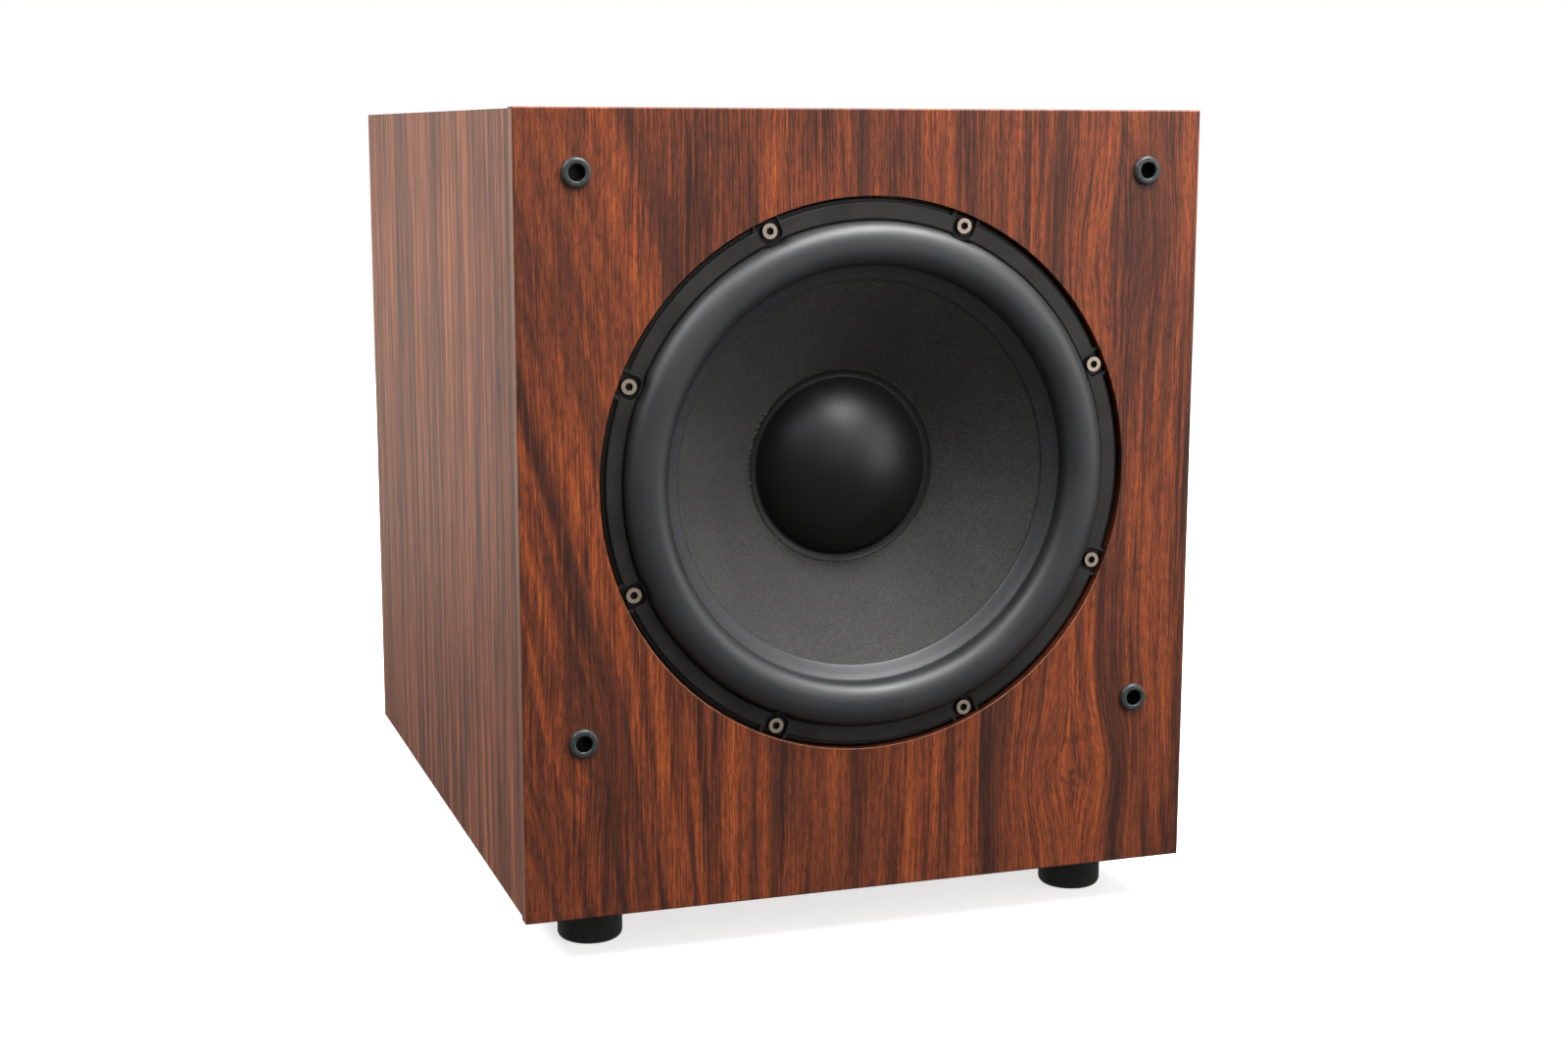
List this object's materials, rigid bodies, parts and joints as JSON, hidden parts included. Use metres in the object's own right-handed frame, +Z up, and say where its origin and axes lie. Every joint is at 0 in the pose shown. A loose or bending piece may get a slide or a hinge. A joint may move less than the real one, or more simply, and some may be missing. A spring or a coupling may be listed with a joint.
{
  "type": "active subwoofer",
  "caption": "Front-firing active subwoofer: wood-wrapped box on round feet, rebated long-throw driver with rubber roll, grille sockets and a rear plate amplifier.",
  "frame": {"origin": "middle of the overall footprint at floor level, under the feet", "axes": "+Z up, -Y out of the driver's front, +X to the right seen from the front"},
  "size_m": [0.4, 0.528, 0.4689],
  "materials": {
    "rosewood_vinyl": "satin wood-grain vinyl wrap on board",
    "raw_fibreboard": "raw fibreboard",
    "wadding": "loose polyester wadding",
    "socket_rubber": "satin black rubber",
    "foot_plastic": "fine-textured black plastic",
    "zinc_steel": "zinc-plated steel",
    "black_steel": "black oxide steel",
    "cast_aluminium": "black powder-coated casting",
    "foam_gasket": "closed-cell foam",
    "trim_rubber": "satin black moulded rubber",
    "roll_rubber": "satin black butyl rubber",
    "cone_fibre": "coated pressed fibre with a fine weave",
    "cap_plastic": "smooth satin black",
    "former_aluminium": "thin rolled aluminium",
    "copper_wire": "lacquered copper wire",
    "spider_cloth": "resin-treated corrugated cloth",
    "yoke_steel": "black-zinc machined steel",
    "ferrite": "sintered ferrite",
    "fibre_board": "pressed fibre board",
    "tinned_brass": "tinned brass",
    "red_insulation": "red wire insulation",
    "black_insulation": "black wire insulation",
    "plate_paint": "black textured paint on steel",
    "black_anodised": "black anodised extrusion",
    "circuit_board": "green solder mask",
    "transformer_wrap": "yellow polyester tape",
    "can_sleeve": "dark shrink sleeve",
    "device_epoxy": "moulded epoxy",
    "control_plastic": "moulded black plastic",
    "knob_plastic": "soft-touch black plastic",
    "switch_plastic": "glossy black plastic",
    "gold_plate": "gold-plated brass",
    "cap_red": "clear-tinted red plastic",
    "cap_black": "glossy black plastic",
    "led_lens": "diffused green lens"
  },
  "bodies": {
    "cabinet": {"front_facing_board": "rosewood_vinyl", "left_side_panel": "rosewood_vinyl", "right_side_panel": "rosewood_vinyl", "top_panel": "rosewood_vinyl", "bottom_panel": "rosewood_vinyl", "back_panel": "rosewood_vinyl", "inner_baffle": "raw_fibreboard", "window_brace": "raw_fibreboard", "damping_wadding": "wadding", "grille_sockets": "socket_rubber", "cabinet_feet": "foot_plastic", "foot_screws": "zinc_steel", "driver_basket": "cast_aluminium", "driver_gasket": "foam_gasket", "trim_ring": "trim_rubber", "driver_screws": "zinc_steel", "threaded_inserts": "zinc_steel", "surround": "roll_rubber", "spider": "spider_cloth", "top_plate": "yoke_steel", "magnet_front": "ferrite", "magnet_rear": "ferrite", "t_yoke": "yoke_steel", "motor_screws": "black_steel", "terminal_board": "fibre_board", "terminal_lugs": "tinned_brass", "speaker_lead_red": "red_insulation", "speaker_lead_black": "black_insulation", "amp_gasket": "foam_gasket", "amp_plate": "plate_paint", "amp_heatsink": "black_anodised", "amp_plate_screws": "black_steel", "main_board": "circuit_board", "board_standoffs": "tinned_brass", "toroidal_transformer": "transformer_wrap", "transformer_bolt": "zinc_steel", "filter_capacitors": "can_sleeve", "output_transistors": "device_epoxy", "volume_pot": "control_plastic", "crossover_pot": "control_plastic", "phase_switch_body": "control_plastic", "power_switch_body": "switch_plastic", "iec_inlet": "control_plastic", "iec_pins": "tinned_brass", "rca_jacks": "gold_plate", "binding_posts": "gold_plate", "status_led": "led_lens"},
    "moving_assembly": {"cone": "cone_fibre", "dust_cap": "cap_plastic", "voice_coil_former": "former_aluminium", "voice_coil_winding": "copper_wire"},
    "volume_knob": {"volume_knob": "knob_plastic"},
    "crossover_knob": {"crossover_knob": "knob_plastic"},
    "phase_switch_lever": {"phase_switch_lever": "switch_plastic"},
    "power_rocker": {"power_rocker": "switch_plastic"},
    "fuse_drawer": {"fuse_drawer": "control_plastic"},
    "binding_cap_right_positive": {"binding_cap_right_positive": "cap_red"},
    "binding_cap_right_negative": {"binding_cap_right_negative": "cap_black"},
    "binding_cap_left_positive": {"binding_cap_left_positive": "cap_red"},
    "binding_cap_left_negative": {"binding_cap_left_negative": "cap_black"}
  },
  "joints": [
    {"name": "cone_travel", "type": "slide", "parent": "cabinet", "child": "moving_assembly", "axis": [0, 1, 0], "range_m": [-0.01, 0.01], "stiffness_N_per_m": 4000, "deforming": ["surround", "spider"]},
    {"name": "volume_turn", "type": "hinge", "parent": "cabinet", "child": "volume_knob", "pos_m": [-0.07, 0.2445, 0.3426], "axis": [0, 1, 0], "range_deg": [-150, 150]},
    {"name": "crossover_turn", "type": "hinge", "parent": "cabinet", "child": "crossover_knob", "pos_m": [-0.07, 0.2445, 0.2976], "axis": [0, 1, 0], "range_deg": [-150, 150]},
    {"name": "phase_slide", "type": "slide", "parent": "cabinet", "child": "phase_switch_lever", "axis": [1, 0, 0], "range_m": [0, 0.004]},
    {"name": "power_rock", "type": "hinge", "parent": "cabinet", "child": "power_rocker", "pos_m": [-0.02, 0.2335, 0.1156], "axis": [1, 0, 0], "range_deg": [-16, 0]},
    {"name": "fuse_drawer_slide", "type": "slide", "parent": "cabinet", "child": "fuse_drawer", "axis": [0, 1, 0], "range_m": [0, 0.016]},
    {"name": "binding_cap_right_positive_turn", "type": "hinge", "parent": "cabinet", "child": "binding_cap_right_positive", "pos_m": [0.1, 0.2445, 0.2156], "axis": [0, 1, 0], "range_deg": [0, 720]},
    {"name": "binding_cap_right_negative_turn", "type": "hinge", "parent": "cabinet", "child": "binding_cap_right_negative", "pos_m": [0.081, 0.2445, 0.2156], "axis": [0, 1, 0], "range_deg": [0, 720]},
    {"name": "binding_cap_left_positive_turn", "type": "hinge", "parent": "cabinet", "child": "binding_cap_left_positive", "pos_m": [0.056, 0.2445, 0.2156], "axis": [0, 1, 0], "range_deg": [0, 720]},
    {"name": "binding_cap_left_negative_turn", "type": "hinge", "parent": "cabinet", "child": "binding_cap_left_negative", "pos_m": [0.037, 0.2445, 0.2156], "axis": [0, 1, 0], "range_deg": [0, 720]}
  ]
}
